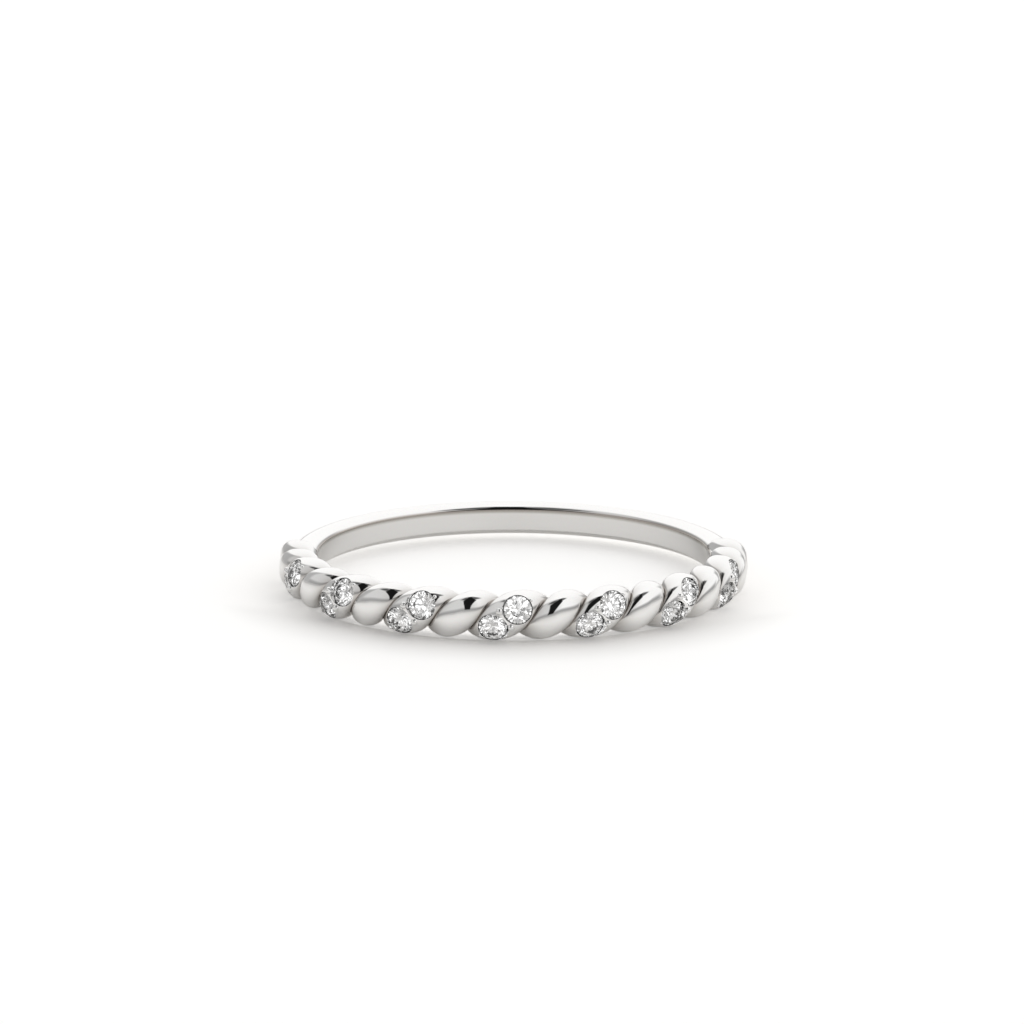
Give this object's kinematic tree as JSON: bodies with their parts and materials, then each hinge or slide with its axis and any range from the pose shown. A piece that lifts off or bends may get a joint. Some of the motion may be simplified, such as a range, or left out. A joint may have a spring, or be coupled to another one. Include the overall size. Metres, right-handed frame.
{
  "type": "rope twist ring",
  "caption": "Slim finger ring with a twisted rope front half, pairs of small round stones set in every second lobe, and a plain rounded shank.",
  "frame": {"origin": "centre of the finger hole, midway along its straight wall", "axes": "+Z along the finger hole, -Y towards the middle of the rope, +X to the right of it"},
  "size_m": [0.0202, 0.02, 0.002],
  "materials": {
    "band_metal": "mirror polished white metal",
    "stones": "clear faceted"
  },
  "bodies": {
    "root": {"band": "band_metal", "stone_01": "stones", "stone_02": "stones", "stone_03": "stones", "stone_04": "stones", "stone_05": "stones", "stone_06": "stones", "stone_07": "stones", "stone_08": "stones", "stone_09": "stones", "stone_10": "stones", "stone_11": "stones", "stone_12": "stones", "stone_13": "stones", "stone_14": "stones"}
  },
  "joints": []
}
